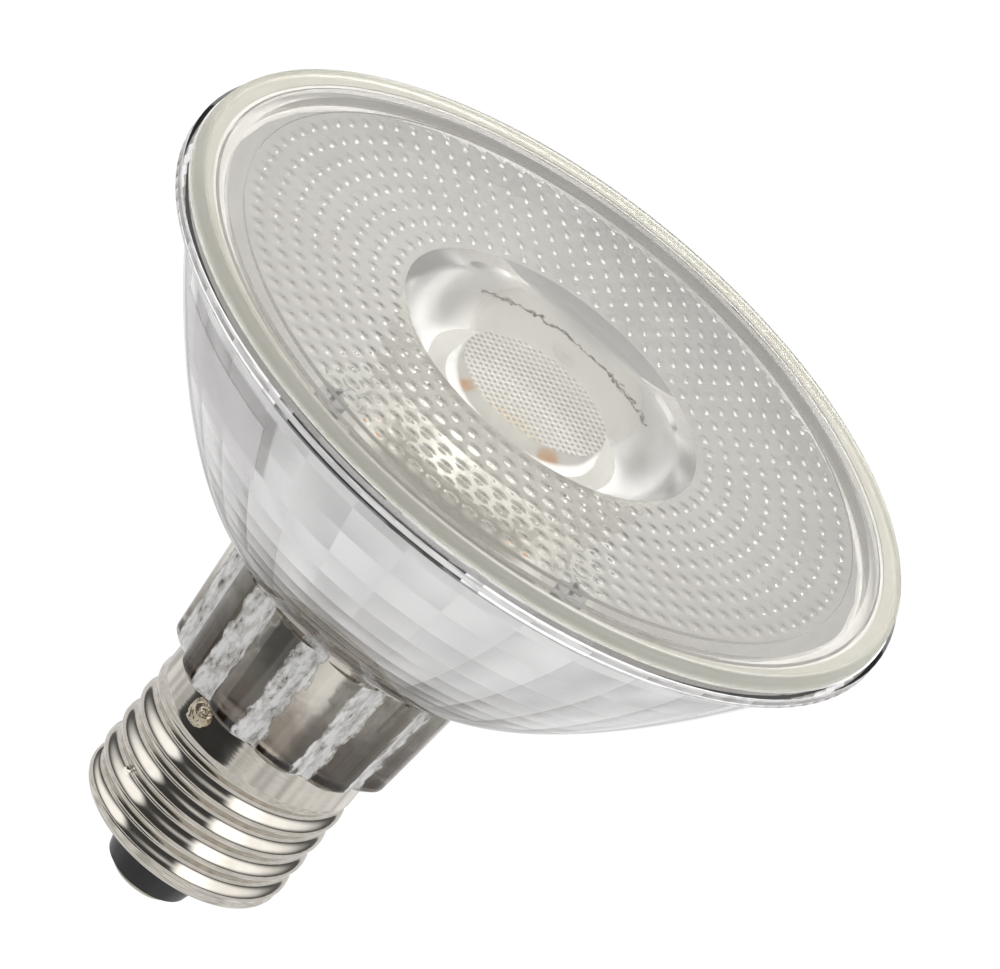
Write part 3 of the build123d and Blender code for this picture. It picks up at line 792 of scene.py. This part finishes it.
def make_screw_shell():
    """The plated cap: a turned shell, its wall rolled into a round right-hand thread and punched once."""
    crest, root, pitch, groove_z, groove_turn = 13.1, 12.2, 3.629, 21.8, 0.75
    top_runout, foot_runout = 1.2, 1.0
    mouth_bevel, wall, foot_width, foot_height = 0.15, 0.4, 2.5, 1.6
    punch_angle, punch_z, punch_reach = radians(225.5), 14.0, 13.0
    punch_radius, punch_depth = 0.55, 0.4
    mouth_z = shell_top_z - mouth_bevel
    turn_z = shell_bottom_z + foot_height
    foot_top_z = shell_bottom_z + wall
    foot_radius = shell_radius - foot_width
    outline = [(collar_inside_radius, shell_top_z), (shell_radius - mouth_bevel, shell_top_z)]
    outline += [(shell_radius, mouth_z)]
    outline += stretch_of((shell_radius, mouth_z), (shell_radius, turn_z), count=130)
    outline += round_of((foot_radius, turn_z), (foot_width, foot_height), first=0, last=-90, count=10)[1:]
    outline += [(contact_hole_radius, shell_bottom_z), (contact_hole_radius, foot_top_z)]
    outline += [(foot_radius, foot_top_z), (shell_inside_radius, turn_z)]
    outline += [(shell_inside_radius, collar_bottom_z - wall), (collar_inside_radius, collar_bottom_z)]
    outline += [(collar_inside_radius, shell_top_z)]
    shell = turned("rolled_cap", outline, steps=320)
    for v in shell.data.vertices:
        radius, height = hypot(v.co.x, v.co.y) / mm, v.co.z / mm
        if abs(radius - shell_radius) > 0.02 or not turn_z - 0.1 < height < collar_bottom_z:
            continue
        angle = atan2(v.co.y, v.co.x)
        phase = (height - groove_z) / pitch - angle / (2 * pi) + groove_turn
        rolled = (crest + root) / 2 - (crest - root) / 2 * cos(2 * pi * phase)
        share = min(1, (collar_bottom_z - height) / top_runout)
        share *= min(1, max(0, (height - turn_z) / foot_runout))
        across = punch_reach * ((angle - punch_angle + pi) % (2 * pi) - pi)
        away = hypot(height - punch_z, across) / punch_radius
        punched = punch_depth * (1 - away * away) if away < 1 else 0.0
        grown = (shell_radius + (rolled - shell_radius) * share - punched) / radius
        v.co.x *= grown
        v.co.y *= grown
    bpy.ops.object.shade_smooth_by_angle(angle=radians(35))
    shell.data.materials.append(bright_nickel())
    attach(shell, "root")
    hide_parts("screw_shell")


def make_solder():
    """The lump of solder on the collar, where the neutral lead comes out."""
    half_sizes, reach, middle_z = (0.9, 1.55, 1.9), 12.75, 26.6
    lump_size, lump_height = 1.1, 0.9
    bpy.ops.object.select_all(action="DESELECT")
    bpy.ops.mesh.primitive_ico_sphere_add(subdivisions=5, radius=mm)
    lump = bpy.context.object
    lump.name = "solder_lump"
    bpy.ops.object.mode_set(mode="EDIT")
    bpy.ops.mesh.select_all(action="SELECT")
    bpy.ops.transform.resize(value=half_sizes)
    bpy.ops.object.mode_set(mode="OBJECT")
    clouds = bpy.data.textures.new("solder_clouds", "CLOUDS")
    clouds.noise_scale = lump_size * mm
    swell = lump.modifiers.new("swell", "DISPLACE")
    swell.texture = clouds
    swell.strength = lump_height * mm
    swell.mid_level = 0.5
    bpy.ops.object.modifier_apply(modifier="swell")
    lump.data.transform(
        Matrix.Rotation(radians(solder_angle), 4, "Z") @ Matrix.Translation((reach * mm, 0, middle_z * mm))
    )
    bpy.ops.object.shade_smooth()
    # Frozen solder, bright on its lumps and brown with flux between them
    lump.data.materials.append(
        plain("soft_solder", "#A08A62", "#EFE8D8", 0.9, (0.08, 0.3), metallic=0.9, bump=0.6)
    )
    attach(lump, "root")
    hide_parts("shell_solder")


def make_pads():
    """Two gilded pads on the light engine's board, seen in the collimator's near wall as orange patches."""
    length, thickness, reach = 3.2, 0.1, 13.4
    middle_z = board_top_z + thickness / 2
    for name, angle, width in (("left_pad", 216, 3.0), ("right_pad", 314, 4.4)):
        bpy.ops.object.select_all(action="DESELECT")
        bpy.ops.mesh.primitive_cube_add(size=mm)
        pad = bpy.context.object
        pad.name = name
        bpy.ops.object.mode_set(mode="EDIT")
        bpy.ops.mesh.select_all(action="SELECT")
        bpy.ops.transform.resize(value=(length, width, thickness))
        bpy.ops.mesh.bevel(offset=0.04 * mm, segments=2)
        bpy.ops.object.mode_set(mode="OBJECT")
        pad.data.transform(
            Matrix.Rotation(radians(angle), 4, "Z") @ Matrix.Translation((reach * mm, 0, middle_z * mm))
        )
        # Copper with a gold wash: an even orange with a low shine, seen through the acrylic
        pad.data.materials.append(
            plain("gilded_copper", "#D18F3E", "#E4AC5E", 0.5, (0.3, 0.5), bump=0.1)
        )
        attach(pad, "root")


def make_seals():
    """Two white drops of sealant on the light engine's board, over the ends of its leads."""
    radius, flatness, reach = 1.5, 0.2, 16.2
    for name, side in (("far_seal", 1), ("near_seal", -1)):
        bpy.ops.object.select_all(action="DESELECT")
        bpy.ops.mesh.primitive_uv_sphere_add(segments=32, ring_count=16, radius=radius * mm)
        seal = bpy.context.object
        seal.name = name
        bpy.ops.object.mode_set(mode="EDIT")
        bpy.ops.mesh.select_all(action="SELECT")
        bpy.ops.transform.resize(value=(1, 1, flatness))
        bpy.ops.transform.translate(value=(0, side * reach * mm, board_top_z * mm))
        bpy.ops.object.mode_set(mode="OBJECT")
        bpy.ops.object.shade_smooth()
        # Cured rubber, white with a low shine
        seal.data.materials.append(plain("white_sealant", "#E4E4E0", "#F0F0ED", 1.5, (0.3, 0.45)))
        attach(seal, "root")


def make_label():
    """A blank sticker of clear film that follows the curve of the bowl's outside."""
    middle_angle, width_angle = 227, 30
    middle_share, height_share = 0.3175, 0.215
    lift, film = 0.12, 0.05
    bpy.ops.object.select_all(action="DESELECT")
    bpy.ops.mesh.primitive_grid_add(x_subdivisions=36, y_subdivisions=24, size=1)
    label = bpy.context.object
    label.name = "blank_label"
    rows = [on_bowl(bowl_outside, band / bowl_bands) for band in range(bowl_bands + 1)]
    for v in label.data.vertices:
        angle = radians(middle_angle - width_angle * v.co.x)
        place = (middle_share + height_share * v.co.y) * bowl_bands
        band = int(place)
        (r0, z0), (r1, z1) = rows[band], rows[band + 1]
        radius = r0 + (r1 - r0) * (place - band) + lift
        v.co = (
            radius * cos(angle) * mm,
            radius * sin(angle) * mm,
            (z0 + (z1 - z0) * (place - band)) * mm,
        )
    thick = label.modifiers.new("thick", "SOLIDIFY")
    thick.thickness = film * mm
    bpy.ops.object.modifier_apply(modifier="thick")
    bpy.ops.object.mode_set(mode="EDIT")
    bpy.ops.mesh.select_all(action="SELECT")
    bpy.ops.mesh.normals_make_consistent(inside=False)
    bpy.ops.object.mode_set(mode="OBJECT")
    bpy.ops.object.shade_smooth_by_angle(angle=radians(30))
    # Cast plastic film, a faint milky veil over the glass
    label.data.materials.append(
        plain("clear_label_film", "#E3DFE0", "#EEEBEC", 4.0, (0.3, 0.45), Alpha=0.35)
    )
    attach(label, "root")


def dress_nodes():
    """Finishes for the CAD pieces that show as they are."""
    # Cool grey metal with a soft glint
    steel = plain("zinc_plated_steel", "#8F9093", "#BDBEC1", 0.6, (0.25, 0.4), metallic=1.0, bump=0.1)
    # Near black and stony
    ferrite = plain("sintered_ferrite", "#242322", "#3A3836", 0.3, (0.5, 0.7), bump=0.3)
    # Black, with the dull grain of its mould
    epoxy = plain("moulded_epoxy", "#141414", "#242424", 0.4, (0.35, 0.55), bump=0.2)
    # Blue-black film, tight and half glossy
    sleeve = plain("shrink_sleeve", "#12151E", "#20242F", 1.5, (0.25, 0.4))
    # Extruded plastic in three colours, smooth and half glossy
    red = plain("red_insulation", "#9C1B16", "#BB2A22", 1.2, (0.3, 0.45))
    black = plain("black_insulation", "#131313", "#222222", 1.2, (0.3, 0.45))
    white = plain("white_insulation", "#DADAD6", "#EAEAE6", 1.2, (0.3, 0.45))
    finishes = {
        # Cloudy and pale, like wax
        "lens_adhesive": plain("milky_glue", "#CFCDC3", "#E0DED6", 2.0, (0.35, 0.5)),
        # Warm yellow powder set in resin
        "cob_phosphor": plain("yellow_phosphor", "#E8C474", "#F3D994", 0.35, (0.3, 0.5), bump=0.15),
        # White rubber with a low shine
        "cob_dam": plain("white_silicone", "#E6E4DE", "#F3F2EE", 0.6, (0.4, 0.55)),
        # White lacquer with a faint ripple
        "led_board": plain("white_solder_mask", "#E6E6E2", "#F2F2EF", 1.5, (0.3, 0.45), bump=0.1),
        "led_screws": steel,
        # Grey and dull, like putty
        "thermal_pad": plain("grey_silicone_pad", "#8A8B8E", "#A3A4A8", 0.5, (0.7, 0.9), bump=0.3),
        # Pale metal with a soft sheen
        "heat_sink": plain(
            "drawn_aluminium", "#C9CACC", "#E2E3E5", 0.8, (0.22, 0.36), metallic=1.0, bump=0.08
        ),
        # Warm white plastic, neither dull nor glossy
        "driver_sleeve": plain("white_polycarbonate", "#D9D6CE", "#E8E6E0", 1.5, (0.4, 0.55)),
        # Green lacquer with a faint ripple
        "driver_board": plain("green_solder_mask", "#1B4B2C", "#2A6A3F", 1.0, (0.3, 0.5), bump=0.1),
        "bridge_rectifier": epoxy,
        "driver_chip": epoxy,
        "input_capacitor": sleeve,
        "output_capacitor": sleeve,
        "transformer_core": ferrite,
        # Amber film, smooth and half glossy
        "transformer_winding": plain("yellow_tape", "#C99A2A", "#E0B544", 1.2, (0.3, 0.45)),
        # Blue-green dipped coat, smooth and half glossy
        "fuse_resistor": plain("blue_lacquer", "#4F8A94", "#6CA7B0", 0.8, (0.3, 0.45)),
        "filter_inductor": ferrite,
        "output_lead_positive": white,
        "output_lead_negative": white,
        "live_lead": red,
        "neutral_lead": black,
        # Brown and gritty, like mortar
        "cap_cement": plain("basing_cement", "#8A7357", "#A98F70", 0.5, (0.7, 0.9), bump=0.5),
        # Black moulded resin with a low shine
        "base_insulator": plain("black_phenolic", "#0C0C0C", "#191919", 0.8, (0.25, 0.4), bump=0.15),
        # Worn and warm plated metal
        "centre_contact": plain(
            "plated_brass", "#A79F8E", "#CFC9BB", 0.8, (0.22, 0.4), metallic=1.0, bump=0.1
        ),
    }
    finishes["shell_solder"] = bpy.data.materials["soft_solder"]
    finishes["front_lens"] = bpy.data.materials["clear_lens"]
    finishes["glass_reflector"] = bpy.data.materials["pressed_glass"]
    finishes["screw_shell"] = bpy.data.materials["bright_nickel"]
    for name, made in finishes.items():
        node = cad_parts[name]
        node.data.materials.clear()
        node.data.materials.append(made)


place_camera()
light_the_scene()
make_front_lens()
make_glass()
make_screw_shell()
make_solder()
make_pads()
make_seals()
make_label()
dress_nodes()
